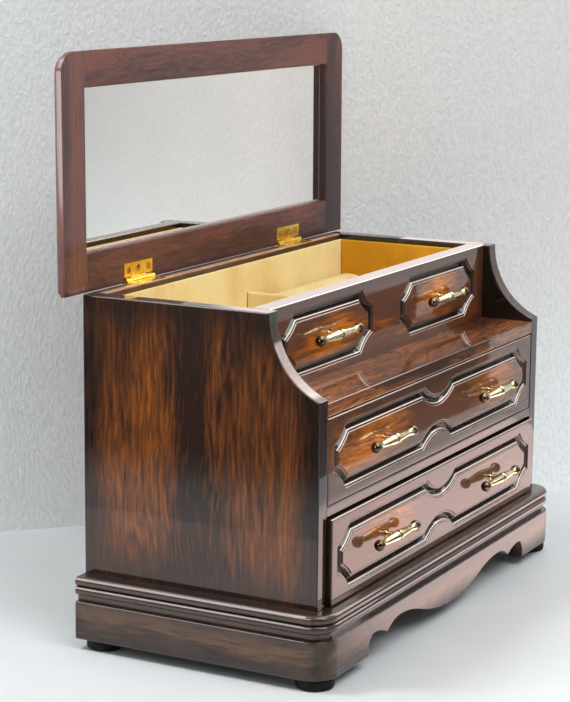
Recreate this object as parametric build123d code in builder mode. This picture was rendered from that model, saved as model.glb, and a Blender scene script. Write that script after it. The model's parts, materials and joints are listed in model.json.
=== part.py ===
from build123d import *
import math
import os

# Vanity box: a two-drawer case with a divided, lined compartment on top and a
# hinged frame-and-panel lid that carries a mirror on its inner face.
# Frame: X to the right, Y to the back, Z up. Z is 0 at the soles of the feet, and
# X and Y are 0 at the middle of the whole box with the lid open. Millimetres.

# ---- Driving dimensions -------------------------------------------------------

# Case
body_width = 260.0
body_depth = 124.0
body_height = 134.0
panel_thickness = 8.5
back_thickness = 6.5
housing_depth = 3.0
housing_stop = 12.0
panel_easing = 0.5
shelf_easing = 0.4

# Scooped front of the side panels
cove_setback = 26.0
cove_height = 38.0

# Base
foot_height = 4.8
foot_radius = 9.0
foot_inset = 10.3
foot_easing = 1.5
base_side_overhang = 9.0
base_front_overhang = 9.0
base_corner_radius = 12.0
plinth_height = 18.8
plinth_thickness = 9.0
plinth_lower_easing = 1.5
plinth_upper_easing = 0.6
quirk_height = 3.0
quirk_recess = 2.6
bead_radius = 2.2
bead_band = 6.0
moulding_width = 18.0
bottom_thickness = 5.0
block_size = 18.0

# Cut-out of the front plinth, as half widths and heights from its lower edge
apron_half_width = 95.0
apron_step = 3.9
outer_lobe_x = 88.2
outer_lobe_z = 10.6
cusp_x = 74.5
cusp_z = 7.0
inner_lobe_x = 60.4
inner_lobe_z = 11.7
wave_x = 37.0
wave_z = 7.8
drop_z = 1.75

# Levels inside the case, from the top of the base
divider_level = 41.8
divider_thickness = 4.8
step_level = 88.0
step_thickness = 6.2
front_board_setback = 29.6
front_board_thickness = 10.0

# Drawers
drawer_side_gap = 0.6
drawer_lower_gap = 0.4
drawer_side_lift = 0.2
drawer_upper_gap = 1.0
drawer_front_thickness = 11.0
drawer_front_easing = 0.5
drawer_stop_gap = 0.2
drawer_side_thickness = 4.0
drawer_side_height = 34.0
drawer_side_clearance = 1.0
drawer_lap = 5.0
drawer_bottom_thickness = 2.5
drawer_bottom_level = 5.0
drawer_groove_depth = 2.0
drawer_bottom_clearance = 0.2
drawer_lining_thickness = 1.5
drawer_lining_clearance = 0.3
lower_drawer_ajar = 2.5

# Routed sunk-panel outlines
long_outline_half_width = 115.4
small_outline_half_width = 47.7
outline_half_height = 15.7
corner_width = 12.4
corner_height = 9.0
corner_hollow_radius = 23.0
scoop_half_width = 16.8
scoop_depth = 6.0
groove_width = 5.7
ledge_width = 0.7
ledge_depth = 0.6
groove_depth = 3.0
groove_wall_angle = 34.0

# Pulls
pull_spacing = 126.6
pull_projection = 5.8
pull_half_length = 22.6
pull_waist_radius = 1.9
pull_waist_half_width = 0.35
pull_shoulder_x = 1.8
pull_body_radius = 2.5
pull_neck_x = 14.2
pull_neck_radius = 1.6
pull_button_x = 19.2
pull_button_radius = 2.6
pull_post_radius = 1.5
pull_flange_radius = 2.2
pull_flange_thickness = 0.5
pull_screw_radius = 0.9
pull_screw_head_radius = 2.4
pull_screw_bite = 3.6
pull_hole_clearance = 0.3

# Linings of the compartment
lining_thickness = 2.0
floor_lining_thickness = 1.0
lining_drop = 2.8
lining_clearance = 0.1
partition_x = 12.0
partition_thickness = 3.0
partition_top = 116.5
roll_count = 5
roll_radius = 10.7
roll_crest = 113.6
cushion_clearance = 0.4

# Lid
lid_overhang = 11.2
lid_depth = 112.0
lid_lean = 0.3
lid_corner_radius = 10.0
lid_rim = 2.2
lid_quirk = 0.8
lid_round = 4.0
lid_round_land = 0.01
lid_bevel_rise = 2.8
lid_bevel_width = 8.0
stile_width = 19.4
back_rail_width = 18.5
front_rail_width = 17.0
mirror_recess = 4.2
mirror_thickness = 2.0
mirror_rebate = 4.0
mirror_clearance = 0.3
opening_easing = 0.8

# Hinges
hinge_x = 77.0
hinge_length = 25.4
hinge_pin_offset = 2.6
hinge_leaf_gap = 0.4
hinge_leaf_thickness = 0.8
hinge_leaf_width = 8.6
hinge_barrel_radius = 1.6
hinge_pin_radius = 0.8
hinge_running_clearance = 0.05
hinge_outer_knuckle = 5.9
hinge_knuckle_gap = 0.15
barrel_clearance = 0.4
hinge_screw_pitch = 9.0
hinge_screw_head_radius = 1.7
hinge_screw_radius = 0.9
hinge_screw_length = 5.0
screw_slot_width = 0.6
screw_slot_depth = 0.5

# ---- Places worked out from them ----------------------------------------------

half_width = body_width / 2
inner_half_width = half_width - panel_thickness
moulding_height = quirk_height + 4 * bead_radius
plinth_top = foot_height + plinth_height
base_top = plinth_top + moulding_height
body_top = base_top + body_height
base_half_width = half_width + base_side_overhang
lid_thickness = lid_rim + lid_round + lid_bevel_rise
lid_half_width = half_width + lid_overhang
pin_z = body_top + hinge_leaf_gap / 2
lid_edge = -hinge_leaf_gap / 2 - 0.3
lid_inner = hinge_leaf_gap / 2
lid_top = lid_edge + lid_depth
bevel_inset = lid_quirk + lid_round

# The pulls of the lower drawer are foremost and the lid's outer face is rearmost.
front_reach = lower_drawer_ajar + pull_projection + pull_button_radius
lid_face_top = lid_top - bevel_inset - lid_bevel_width
rear_reach = (
    body_depth
    + hinge_pin_offset
    + (lid_inner + lid_thickness) * math.cos(math.radians(lid_lean))
    + lid_face_top * math.sin(math.radians(lid_lean))
)
front_y = (front_reach - rear_reach) / 2
back_y = front_y + body_depth
pin_y = back_y + hinge_pin_offset

divider_z = base_top + divider_level
upper_floor_z = divider_z + divider_thickness
step_z = base_top + step_level
compartment_z = step_z + step_thickness
front_board_y = front_y + front_board_setback
compartment_y = front_board_y + front_board_thickness
back_board_y = back_y - back_thickness
lining_top = body_top - lining_drop
drawer_length = body_depth - back_thickness - drawer_stop_gap
drawer_half_width = inner_half_width - drawer_side_clearance
drawer_inner_half_width = drawer_half_width - drawer_side_thickness
front_board_centre_z = (compartment_z + body_top) / 2


# ---- Makers of the pieces that repeat ------------------------------------------


def save(piece, name):
    """Label a finished piece and write it to its own file."""
    piece.part.label = name
    export_step(piece.part, f"parts/{name}.step")


def board(x_from, x_to, y_from, y_to, z_from, z_to):
    """Plain square-edged board between two opposite corners."""
    with BuildPart() as made:
        with BuildSketch(Plane((x_from, y_from, z_from))):
            Rectangle(x_to - x_from, y_to - y_from, align=(Align.MIN, Align.MIN))
        extrude(amount=z_to - z_from)
    return made


def housed_board(z_from, thickness):
    """Shelf across the case whose ends are let into stopped housings."""
    with BuildPart() as made:
        with BuildSketch(Plane((0, front_y, z_from))):
            Rectangle(2 * inner_half_width, body_depth - back_thickness, align=(Align.CENTER, Align.MIN))
        extrude(amount=thickness)
        with BuildSketch(Plane((0, front_y + housing_stop, z_from))):
            Rectangle(
                2 * (inner_half_width + housing_depth),
                body_depth - back_thickness - housing_stop,
                align=(Align.CENTER, Align.MIN),
            )
        extrude(amount=thickness)
        fillet(made.edges().filter_by(Axis.X).group_by(Axis.Y)[0], radius=shelf_easing)
    return made


def base_outline(inset):
    """Plan of the base, inset from its outermost line, with round front corners."""
    with BuildSketch() as plan:
        with BuildLine():
            x_side = base_half_width - inset
            y_front = front_y - base_front_overhang + inset
            FilletPolyline(
                (x_side, back_y),
                (x_side, y_front),
                (-x_side, y_front),
                (-x_side, back_y),
                radius=base_corner_radius - inset,
            )
            Line((-x_side, back_y), (x_side, back_y))
        make_face()
    return plan.sketch


def base_path():
    """Line that the outermost edge of the base follows, from the right rear corner."""
    y_front = front_y - base_front_overhang
    with BuildLine() as path:
        FilletPolyline(
            (base_half_width, back_y),
            (base_half_width, y_front),
            (-base_half_width, y_front),
            (-base_half_width, back_y),
            radius=base_corner_radius,
        )
    return path


def mitred_member(ring, side):
    """Front, left or right member of a ring, cut at 45 degrees at the front corners."""
    outer = base_half_width
    inner = base_half_width - moulding_width
    y_outer = front_y - base_front_overhang
    y_inner = y_outer + moulding_width
    if side == "front":
        corners = ((-outer, y_outer), (outer, y_outer), (inner, y_inner), (-inner, y_inner))
    elif side == "right":
        corners = ((outer, y_outer), (outer, back_y), (inner, back_y), (inner, y_inner))
    else:
        corners = ((-outer, y_outer), (-inner, y_inner), (-inner, back_y), (-outer, back_y))
    with BuildPart() as member:
        add(ring.part)
        with BuildSketch():
            with BuildLine():
                Polyline(*corners, close=True)
            make_face()
        extrude(amount=base_top, mode=Mode.INTERSECT)
    return member


def panel_outline(half_x, scoop_x, scoop_z):
    """Sunk-panel outline: hollow corners, and a scoop in the long sides if scoop_x is given."""
    half_z = outline_half_height
    corner_x = half_x - corner_width
    corner_z = half_z - corner_height
    with BuildSketch() as outline:
        with BuildLine():
            Line((half_x, 0), (half_x, corner_z))
            RadiusArc((half_x, corner_z), (corner_x, half_z), corner_hollow_radius)
            Line((corner_x, half_z), (scoop_x, half_z))
            if scoop_x > 0:
                TangentArc((0, half_z - scoop_z), (scoop_x, half_z), tangent=(1, 0))
            mirror(about=Plane.XZ)
            mirror(about=Plane.YZ)
        make_face()
    return outline.sketch


def outline_ring(outline, start, end):
    """Band between two insets of a sunk-panel outline."""
    with BuildSketch() as ring:
        offset(objects=outline, amount=-start, kind=Kind.INTERSECTION)
        offset(objects=outline, amount=-end, kind=Kind.INTERSECTION, mode=Mode.SUBTRACT)
    return ring.sketch


def routed_board(plain, face_y, centre_z, outlines):
    """Board with the stepped, V-bottomed groove routed round each (x, outline) in its face."""
    face = Plane(origin=(0, face_y, centre_z), x_dir=(1, 0, 0), z_dir=(0, -1, 0))
    with BuildPart() as made:
        add(plain.part)
        for centre_x, outline in outlines:
            with BuildSketch(face):
                with Locations((centre_x, 0)):
                    add(outline_ring(outline, 0, groove_width))
            extrude(amount=-ledge_depth, mode=Mode.SUBTRACT)
            with BuildSketch(face):
                with Locations((centre_x, 0)):
                    add(outline_ring(outline, ledge_width, groove_width - ledge_width))
            extrude(amount=-groove_depth, taper=groove_wall_angle, mode=Mode.SUBTRACT)
    return made


def screw(head_radius, shank_radius, length):
    """Slotted countersunk screw with its head flush at the origin, pointing down."""
    with BuildPart() as made:
        with BuildSketch(Plane.XZ):
            with BuildLine():
                Polyline(
                    (0, 0),
                    (head_radius, 0),
                    (shank_radius, shank_radius - head_radius),
                    (shank_radius, 2 * shank_radius - length),
                    (0, -length),
                    close=True,
                )
            make_face()
        revolve(axis=Axis.Z)
        with BuildSketch():
            Rectangle(2 * head_radius, screw_slot_width)
        extrude(amount=-screw_slot_depth, mode=Mode.SUBTRACT)
    return made


def pull():
    """Turned bar pull along X, its post running back along +Y to a face at Y 0.

    Each half swells to a shoulder beside the waist, thins to a neck and flares to a button.
    """
    bar = Plane((0, -pull_projection, 0))
    with BuildPart() as made:
        with BuildSketch(bar):
            with BuildLine():
                Polyline(
                    (pull_half_length, 0),
                    (0, 0),
                    (0, pull_waist_radius),
                    (pull_waist_half_width, pull_waist_radius),
                )
                TangentArc(
                    (pull_shoulder_x, pull_body_radius),
                    (pull_waist_half_width, pull_waist_radius),
                    tangent=(-1, 0),
                )
                Line((pull_shoulder_x, pull_body_radius), (pull_neck_x, pull_neck_radius))
                TangentArc(
                    (pull_neck_x, pull_neck_radius),
                    (pull_button_x, pull_button_radius),
                    tangent=(1, 0),
                )
                TangentArc(
                    (pull_half_length, 0),
                    (pull_button_x, pull_button_radius),
                    tangent=(0, 1),
                )
            make_face()
        revolve(axis=Axis((0, -pull_projection, 0), (1, 0, 0)))
        mirror(about=Plane.YZ)
        with BuildSketch(Plane.XZ):
            Circle(pull_post_radius)
        extrude(amount=pull_projection)
        with BuildSketch(Plane.XZ):
            Circle(pull_flange_radius)
        extrude(amount=pull_flange_thickness)
        with BuildSketch(Plane.XZ):
            Circle(pull_screw_radius)
        extrude(amount=pull_screw_bite, mode=Mode.SUBTRACT)
    return made


def pull_holes(plain, face_y, thickness, centre_z):
    """Board with the countersunk holes of its two pull screws, sunk from behind."""
    back = Plane(origin=(0, face_y + thickness, centre_z), x_dir=(-1, 0, 0), z_dir=(0, 1, 0))
    with BuildPart() as made:
        add(plain.part)
        with Locations(back):
            with Locations((-pull_spacing / 2, 0), (pull_spacing / 2, 0)):
                CounterSinkHole(
                    radius=pull_screw_radius + pull_hole_clearance,
                    counter_sink_radius=pull_screw_head_radius,
                    depth=thickness,
                    counter_sink_angle=90,
                )
    return made


def pull_pair(face_y, centre_z):
    """The two pulls of one front."""
    with BuildPart() as made:
        with Locations((-pull_spacing / 2, face_y, centre_z), (pull_spacing / 2, face_y, centre_z)):
            add(single_pull.part)
    return made


def pull_screw_pair(face_y, thickness, centre_z):
    """The two screws that hold the pulls of one front, driven from behind."""
    one = screw(pull_screw_head_radius, pull_screw_radius, thickness + pull_screw_bite)
    back = Plane(origin=(0, face_y + thickness, centre_z), x_dir=(-1, 0, 0), z_dir=(0, 1, 0))
    with BuildPart() as made:
        with Locations(back):
            with Locations((-pull_spacing / 2, 0), (pull_spacing / 2, 0)):
                add(one.part)
    return made


def make_drawer(name, floor_z, ceiling_z, ajar):
    """Make and write every piece of one drawer standing between two levels."""
    face_y = front_y - ajar
    rear_y = face_y + drawer_length
    front_bottom = floor_z + drawer_lower_gap
    front_top = ceiling_z - drawer_upper_gap
    centre_z = (front_bottom + front_top) / 2
    side_bottom = floor_z + drawer_side_lift
    side_top = side_bottom + drawer_side_height
    ply_bottom = side_bottom + drawer_bottom_level
    ply_top = ply_bottom + drawer_bottom_thickness
    lap_y = face_y + drawer_front_thickness - drawer_lap
    inside_y = face_y + drawer_front_thickness
    ply_half_width = drawer_inner_half_width + drawer_groove_depth

    front_half_width = inner_half_width - drawer_side_gap
    with BuildPart() as plain_front:
        with BuildSketch(Plane((0, face_y, front_bottom))):
            Rectangle(2 * front_half_width, drawer_front_thickness, align=(Align.CENTER, Align.MIN))
        extrude(amount=front_top - front_bottom)
        face = plain_front.faces().sort_by(Axis.Y)[0]
        fillet(face.edges(), radius=drawer_front_easing)
        with BuildSketch(Plane((0, lap_y, side_bottom))):
            with Locations((drawer_inner_half_width, 0), (-front_half_width, 0)):
                Rectangle(
                    front_half_width - drawer_inner_half_width,
                    drawer_lap,
                    align=(Align.MIN, Align.MIN),
                )
        extrude(amount=drawer_side_height, mode=Mode.SUBTRACT)
        with BuildSketch(Plane((0, inside_y - drawer_groove_depth, ply_bottom))):
            Rectangle(2 * drawer_inner_half_width, drawer_groove_depth, align=(Align.CENTER, Align.MIN))
        extrude(amount=drawer_bottom_thickness, mode=Mode.SUBTRACT)
    bored_front = pull_holes(plain_front, face_y, drawer_front_thickness, centre_z)
    save(routed_board(bored_front, face_y, centre_z, [(0, long_outline)]), f"{name}_drawer_front")

    for side, sign in (("left", -1), ("right", 1)):
        x_outer = sign * drawer_half_width
        x_inner = sign * drawer_inner_half_width
        x_groove = sign * ply_half_width
        side_span = sorted((x_outer, x_inner))
        groove_span = sorted((x_groove, x_inner))
        plain_side = board(*side_span, lap_y, rear_y, side_bottom, side_top)
        ply_groove = board(*groove_span, lap_y, rear_y, ply_bottom, ply_top)
        with BuildPart() as grooved_side:
            add(plain_side.part)
            add(ply_groove.part, mode=Mode.SUBTRACT)
        save(grooved_side, f"{name}_drawer_{side}_side")

    save(
        board(
            -drawer_inner_half_width,
            drawer_inner_half_width,
            rear_y - drawer_side_thickness,
            rear_y,
            ply_top,
            side_top,
        ),
        f"{name}_drawer_back",
    )
    save(
        board(
            drawer_bottom_clearance - ply_half_width,
            ply_half_width - drawer_bottom_clearance,
            inside_y,
            rear_y,
            ply_bottom,
            ply_top,
        ),
        f"{name}_drawer_bottom",
    )
    save(
        board(
            drawer_lining_clearance - drawer_inner_half_width,
            drawer_inner_half_width - drawer_lining_clearance,
            inside_y + drawer_lining_clearance,
            rear_y - drawer_side_thickness - drawer_lining_clearance,
            ply_top,
            ply_top + drawer_lining_thickness,
        ),
        f"{name}_drawer_lining",
    )
    save(pull_pair(face_y, centre_z), f"{name}_drawer_pulls")
    save(pull_screw_pair(face_y, drawer_front_thickness, centre_z), f"{name}_drawer_pull_screws")


def hinge_leaf(spans):
    """Leaf with its pin along X at the origin, its plate towards +Y, and the given knuckles.

    Each span is the first and last X of one knuckle.
    """
    face_z = -hinge_leaf_gap / 2
    plate_y = hinge_barrel_radius + hinge_leaf_gap
    with BuildPart() as made:
        with BuildSketch(Plane((0, plate_y, face_z))):
            Rectangle(hinge_length, hinge_leaf_width - plate_y, align=(Align.CENTER, Align.MIN))
        extrude(amount=-hinge_leaf_thickness)
        for x_from, x_to in spans:
            with BuildSketch(Plane((x_from, 0, face_z))):
                Rectangle(x_to - x_from, plate_y, align=(Align.MIN, Align.MIN))
            extrude(amount=-hinge_leaf_thickness)
            with BuildSketch(Plane.YZ.offset(x_from)):
                Circle(hinge_barrel_radius)
            extrude(amount=x_to - x_from)
    return made


def bored_leaf(plain, spans, bore_radius):
    """Leaf with its knuckles bored for the pin and its three screw holes countersunk."""
    screw_y = (hinge_barrel_radius + hinge_leaf_gap + hinge_leaf_width) / 2
    with BuildPart() as made:
        add(plain.part)
        for x_from, x_to in spans:
            with BuildSketch(Plane.YZ.offset(x_from)):
                Circle(bore_radius)
            extrude(amount=x_to - x_from, mode=Mode.SUBTRACT)
        with Locations((0, screw_y, -hinge_leaf_gap / 2)):
            with GridLocations(hinge_screw_pitch, 0, 3, 1):
                CounterSinkHole(
                    radius=hinge_screw_radius,
                    counter_sink_radius=hinge_screw_head_radius,
                    depth=hinge_leaf_thickness,
                    counter_sink_angle=90,
                )
    return made


def on_both_hinges(piece, planes):
    """The same piece placed on each of the given hinge planes."""
    with BuildPart() as made:
        with Locations(*planes):
            add(piece.part)
    return made


def hinge_screw_row():
    """Three screws in their places under one leaf."""
    screw_y = (hinge_barrel_radius + hinge_leaf_gap + hinge_leaf_width) / 2
    one = screw(hinge_screw_head_radius, hinge_screw_radius, hinge_screw_length)
    with BuildPart() as made:
        with Locations((0, screw_y, -hinge_leaf_gap / 2)):
            with GridLocations(hinge_screw_pitch, 0, 3, 1):
                add(one.part)
    return made


def mortise_cutter():
    """What a leaf, its barrel and its screws take out of the wood they are let into."""
    screw_y = (hinge_barrel_radius + hinge_leaf_gap + hinge_leaf_width) / 2
    face_z = -hinge_leaf_gap / 2
    barrel_length = hinge_length + 2 * barrel_clearance
    with BuildPart() as made:
        with BuildSketch(Plane((0, 0, face_z))):
            Rectangle(hinge_length, hinge_leaf_width, align=(Align.CENTER, Align.MIN))
        extrude(amount=-hinge_leaf_thickness)
        with BuildSketch(Plane.YZ.offset(-barrel_length / 2)):
            Circle(hinge_barrel_radius + barrel_clearance)
        extrude(amount=barrel_length)
        with BuildSketch(Plane((0, screw_y, face_z))):
            with GridLocations(hinge_screw_pitch, 0, 3, 1):
                Circle(hinge_screw_radius)
        extrude(amount=-hinge_screw_length)
        with Locations((0, screw_y, face_z)):
            with GridLocations(hinge_screw_pitch, 0, 3, 1):
                Cone(
                    bottom_radius=hinge_screw_radius,
                    top_radius=hinge_screw_head_radius,
                    height=hinge_screw_head_radius - hinge_screw_radius,
                    align=(Align.CENTER, Align.CENTER, Align.MAX),
                )
    return made


def lid_outline(inset):
    """Plan of the lid, inset from its edge: round front corners, square hinge corners."""
    with BuildSketch() as plan:
        with BuildLine():
            x_side = lid_half_width - inset
            v_back = lid_edge + inset
            v_front = lid_top - inset
            FilletPolyline(
                (x_side, v_back),
                (x_side, v_front),
                (-x_side, v_front),
                (-x_side, v_back),
                radius=lid_corner_radius - inset,
            )
            Line((-x_side, v_back), (x_side, v_back))
        make_face()
    return plan.sketch


def lid_level(shape):
    """How far the middle of an edge or a face lies from the lid's own plane, outwards."""
    return round(lid_plane.to_local_coords(shape.center()).Z, 3)


def lid_member(x_from, x_to, v_from, v_to):
    """Piece of the lid frame between two opposite corners of the lid's plan."""
    with BuildPart() as member:
        add(lid_frame.part)
        with BuildSketch(lid_plane):
            with Locations((x_from, v_from)):
                Rectangle(x_to - x_from, v_to - v_from, align=(Align.MIN, Align.MIN))
        extrude(amount=lid_inner + lid_thickness, mode=Mode.INTERSECT)
    return member


os.makedirs("parts", exist_ok=True)

# ---- Base -----------------------------------------------------------------------

path = base_path()
section_start = Plane(origin=(base_half_width, back_y, 0), x_dir=(-1, 0, 0), z_dir=(0, 1, 0))

with BuildPart() as plinth_ring:
    with BuildSketch(section_start):
        with BuildLine():
            FilletPolyline(
                (plinth_thickness, foot_height),
                (0, foot_height),
                (0, plinth_top),
                (plinth_thickness, plinth_top),
                radius=[plinth_lower_easing, plinth_upper_easing],
            )
            Line((plinth_thickness, plinth_top), (plinth_thickness, foot_height))
        make_face()
    sweep(path=path.wire())

front_member = mitred_member(plinth_ring, "front")
with BuildPart() as plinth_front:
    add(front_member.part)
    apron_face = Plane(
        origin=(0, front_y - base_front_overhang, foot_height), x_dir=(1, 0, 0), z_dir=(0, -1, 0)
    )
    with BuildSketch(apron_face):
        with BuildLine():
            Polyline((0, drop_z), (0, 0), (apron_half_width, 0), (apron_half_width, apron_step))
            TangentArc(
                (outer_lobe_x, outer_lobe_z), (apron_half_width, apron_step), tangent=(1, 0)
            )
            TangentArc((outer_lobe_x, outer_lobe_z), (cusp_x, cusp_z), tangent=(-1, 0))
            TangentArc((inner_lobe_x, inner_lobe_z), (cusp_x, cusp_z), tangent=(1, 0))
            TangentArc((inner_lobe_x, inner_lobe_z), (wave_x, wave_z), tangent=(-1, 0))
            TangentArc((0, drop_z), (wave_x, wave_z), tangent=(1, 0))
        make_face()
        mirror(about=Plane.YZ)
    extrude(amount=-plinth_thickness, mode=Mode.SUBTRACT)
save(plinth_front, "plinth_front")
save(mitred_member(plinth_ring, "left"), "plinth_left")
save(mitred_member(plinth_ring, "right"), "plinth_right")
plinth_inner = base_half_width - plinth_thickness
save(
    board(-plinth_inner, plinth_inner, back_y - plinth_thickness, back_y, foot_height, plinth_top),
    "plinth_back",
)

with BuildPart() as moulding_ring:
    with BuildSketch(section_start):
        with BuildLine():
            Polyline(
                (bead_radius, plinth_top + quirk_height),
                (quirk_recess, plinth_top + quirk_height),
                (quirk_recess, plinth_top),
                (bead_band, plinth_top),
                (bead_band, base_top),
                (bead_radius, base_top),
            )
            for bead_top in (base_top, base_top - 2 * bead_radius):
                ThreePointArc(
                    (bead_radius, bead_top),
                    (0, bead_top - bead_radius),
                    (bead_radius, bead_top - 2 * bead_radius),
                )
        make_face()
    sweep(path=path.wire())
    with BuildSketch(Plane.XY.offset(plinth_top)):
        add(base_outline(bead_band))
        with Locations((0, front_y - base_front_overhang + moulding_width)):
            Rectangle(
                2 * (base_half_width - moulding_width),
                body_depth + base_front_overhang - moulding_width,
                align=(Align.CENTER, Align.MIN),
                mode=Mode.SUBTRACT,
            )
    extrude(amount=moulding_height)
for side in ("front", "left", "right"):
    save(mitred_member(moulding_ring, side), f"base_moulding_{side}")
moulding_inner = base_half_width - moulding_width
save(
    board(-moulding_inner, moulding_inner, back_y - moulding_width, back_y, plinth_top, base_top),
    "base_moulding_back",
)
save(
    board(
        -moulding_inner,
        moulding_inner,
        front_y - base_front_overhang + moulding_width,
        back_y - moulding_width,
        base_top - bottom_thickness,
        base_top,
    ),
    "bottom_panel",
)

block_inner = plinth_inner - block_size
front_block_y = front_y - base_front_overhang + plinth_thickness
rear_block_y = back_y - plinth_thickness - block_size
with BuildPart() as glue_blocks:
    with BuildSketch(Plane.XY.offset(foot_height)):
        with Locations(
            (block_inner, front_block_y),
            (-plinth_inner, front_block_y),
            (block_inner, rear_block_y),
            (-plinth_inner, rear_block_y),
        ):
            Rectangle(block_size, block_size, align=(Align.MIN, Align.MIN))
    extrude(amount=plinth_height)
    front_corners = glue_blocks.edges().filter_by(Axis.Z).group_by(Axis.Y)[0].sort_by(Axis.X)
    fillet([front_corners[0], front_corners[-1]], radius=base_corner_radius - plinth_thickness)
save(glue_blocks, "glue_blocks")

foot_x = base_half_width - foot_inset
with BuildPart() as foot_pads:
    with BuildSketch():
        with Locations(
            (foot_x, front_y - base_front_overhang + foot_inset),
            (-foot_x, front_y - base_front_overhang + foot_inset),
            (foot_x, back_y - foot_inset),
            (-foot_x, back_y - foot_inset),
        ):
            Circle(foot_radius)
    extrude(amount=foot_height)
    fillet(foot_pads.edges().group_by(Axis.Z)[0], radius=foot_easing)
save(foot_pads, "foot_pads")

# ---- Case -----------------------------------------------------------------------

step_board = housed_board(step_z, step_thickness)
drawer_divider = housed_board(divider_z, divider_thickness)
save(step_board, "step_board")
save(drawer_divider, "drawer_divider")

cove_radius = (cove_setback**2 + cove_height**2) / (2 * cove_setback)
for side, x_from in (("left", -half_width), ("right", inner_half_width)):
    profile_plane = Plane(origin=(x_from, front_y, base_top), x_dir=(0, 1, 0), z_dir=(1, 0, 0))
    with BuildPart() as side_panel:
        with BuildSketch(profile_plane):
            with BuildLine():
                Polyline(
                    (0, body_height - cove_height),
                    (0, 0),
                    (body_depth, 0),
                    (body_depth, body_height),
                    (cove_setback, body_height),
                )
                RadiusArc((cove_setback, body_height), (0, body_height - cove_height), cove_radius)
            make_face()
        extrude(amount=panel_thickness)
        for face in side_panel.faces().filter_by(Axis.X):
            eased = face.edges().filter_by(GeomType.CIRCLE) + face.edges().sort_by(Axis.Z)[-1:]
            fillet(eased + face.edges().sort_by(Axis.Y)[:1], radius=panel_easing)
        add(step_board.part, mode=Mode.SUBTRACT)
        add(drawer_divider.part, mode=Mode.SUBTRACT)
    save(side_panel, f"{side}_side_panel")

hinge_planes = [
    Plane(origin=(x, pin_y, pin_z), x_dir=(-1, 0, 0), z_dir=(0, 0, 1)) for x in (-hinge_x, hinge_x)
]
cutter = mortise_cutter()
lower_mortises = on_both_hinges(cutter, hinge_planes)

plain_back = board(-inner_half_width, inner_half_width, back_board_y, back_y, base_top, body_top)
with BuildPart() as back_panel:
    add(plain_back.part)
    add(lower_mortises.part, mode=Mode.SUBTRACT)
save(back_panel, "back_panel")

long_outline = panel_outline(long_outline_half_width, scoop_half_width, scoop_depth)
small_outline = panel_outline(small_outline_half_width, 0, 0)

square_board = board(
    -inner_half_width, inner_half_width, front_board_y, compartment_y, compartment_z, body_top
)
with BuildPart() as plain_board:
    add(square_board.part)
    fillet(plain_board.faces().sort_by(Axis.Z)[-1].edges().filter_by(Axis.X), radius=panel_easing)
bored_board = pull_holes(plain_board, front_board_y, front_board_thickness, front_board_centre_z)
save(
    routed_board(
        bored_board,
        front_board_y,
        front_board_centre_z,
        [(-pull_spacing / 2, small_outline), (pull_spacing / 2, small_outline)],
    ),
    "upper_front_board",
)

single_pull = pull()
save(pull_pair(front_board_y, front_board_centre_z), "false_front_pulls")
save(
    pull_screw_pair(front_board_y, front_board_thickness, front_board_centre_z),
    "false_front_pull_screws",
)

# ---- Linings of the top compartment ------------------------------------------------

floor_top = compartment_z + floor_lining_thickness
lining_x = inner_half_width - lining_thickness
lining_front_y = compartment_y + lining_thickness
lining_back_y = back_board_y - lining_thickness
save(
    board(-inner_half_width, inner_half_width, compartment_y, back_board_y, compartment_z, floor_top),
    "floor_lining",
)
save(
    board(-inner_half_width, inner_half_width, compartment_y, lining_front_y, floor_top, lining_top),
    "front_lining",
)
save(
    board(-inner_half_width, inner_half_width, lining_back_y, back_board_y, floor_top, lining_top),
    "back_lining",
)
save(
    board(-inner_half_width, -lining_x, lining_front_y, lining_back_y, floor_top, lining_top),
    "left_lining",
)
save(
    board(lining_x, inner_half_width, lining_front_y, lining_back_y, floor_top, lining_top),
    "right_lining",
)

partition_left = partition_x - partition_thickness / 2
partition_right = partition_x + partition_thickness / 2
partition_board = board(
    partition_left,
    partition_right,
    lining_front_y + lining_clearance,
    lining_back_y - lining_clearance,
    floor_top,
    base_top + partition_top,
)
with BuildPart() as partition:
    add(partition_board.part)
    fillet(partition.faces().sort_by(Axis.Z)[-1].edges().filter_by(Axis.Y), radius=partition_thickness / 3)
save(partition, "partition")

cushion_front_y = lining_front_y + cushion_clearance
roll_pitch = (lining_back_y - lining_front_y - 2 * cushion_clearance) / roll_count
roll_valley = roll_crest - roll_radius + math.sqrt(roll_radius**2 - (roll_pitch / 2) ** 2)
cushion_width = lining_x - partition_right - 2 * cushion_clearance
cushion_plane = Plane(
    origin=(partition_right + cushion_clearance, cushion_front_y, base_top),
    x_dir=(0, 1, 0),
    z_dir=(1, 0, 0),
)
with BuildPart() as ring_cushion:
    with BuildSketch(cushion_plane):
        with BuildLine():
            cushion_floor = floor_top - base_top
            Polyline(
                (0, roll_valley),
                (0, cushion_floor),
                (roll_count * roll_pitch, cushion_floor),
                (roll_count * roll_pitch, roll_valley),
            )
            for roll in range(roll_count):
                ThreePointArc(
                    (roll * roll_pitch, roll_valley),
                    ((roll + 0.5) * roll_pitch, roll_crest),
                    ((roll + 1) * roll_pitch, roll_valley),
                )
        make_face()
    extrude(amount=cushion_width)
save(ring_cushion, "ring_cushion")

# ---- Drawers --------------------------------------------------------------------

make_drawer("upper", upper_floor_z, step_z, 0)
make_drawer("lower", base_top, divider_z, lower_drawer_ajar)

# ---- Lid, drawn in its own plane: X to the left, then up the lid, then outwards -----

lean = math.radians(lid_lean)
outward = (0, math.cos(lean), -math.sin(lean))
inward = (0, -math.cos(lean), math.sin(lean))
lid_plane = Plane(origin=(0, pin_y, pin_z), x_dir=(-1, 0, 0), z_dir=outward)
inner_plane = lid_plane.offset(lid_inner)
lid_hinge_planes = [
    Plane(origin=(x, pin_y, pin_z), x_dir=(1, 0, 0), z_dir=inward) for x in (-hinge_x, hinge_x)
]

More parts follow.
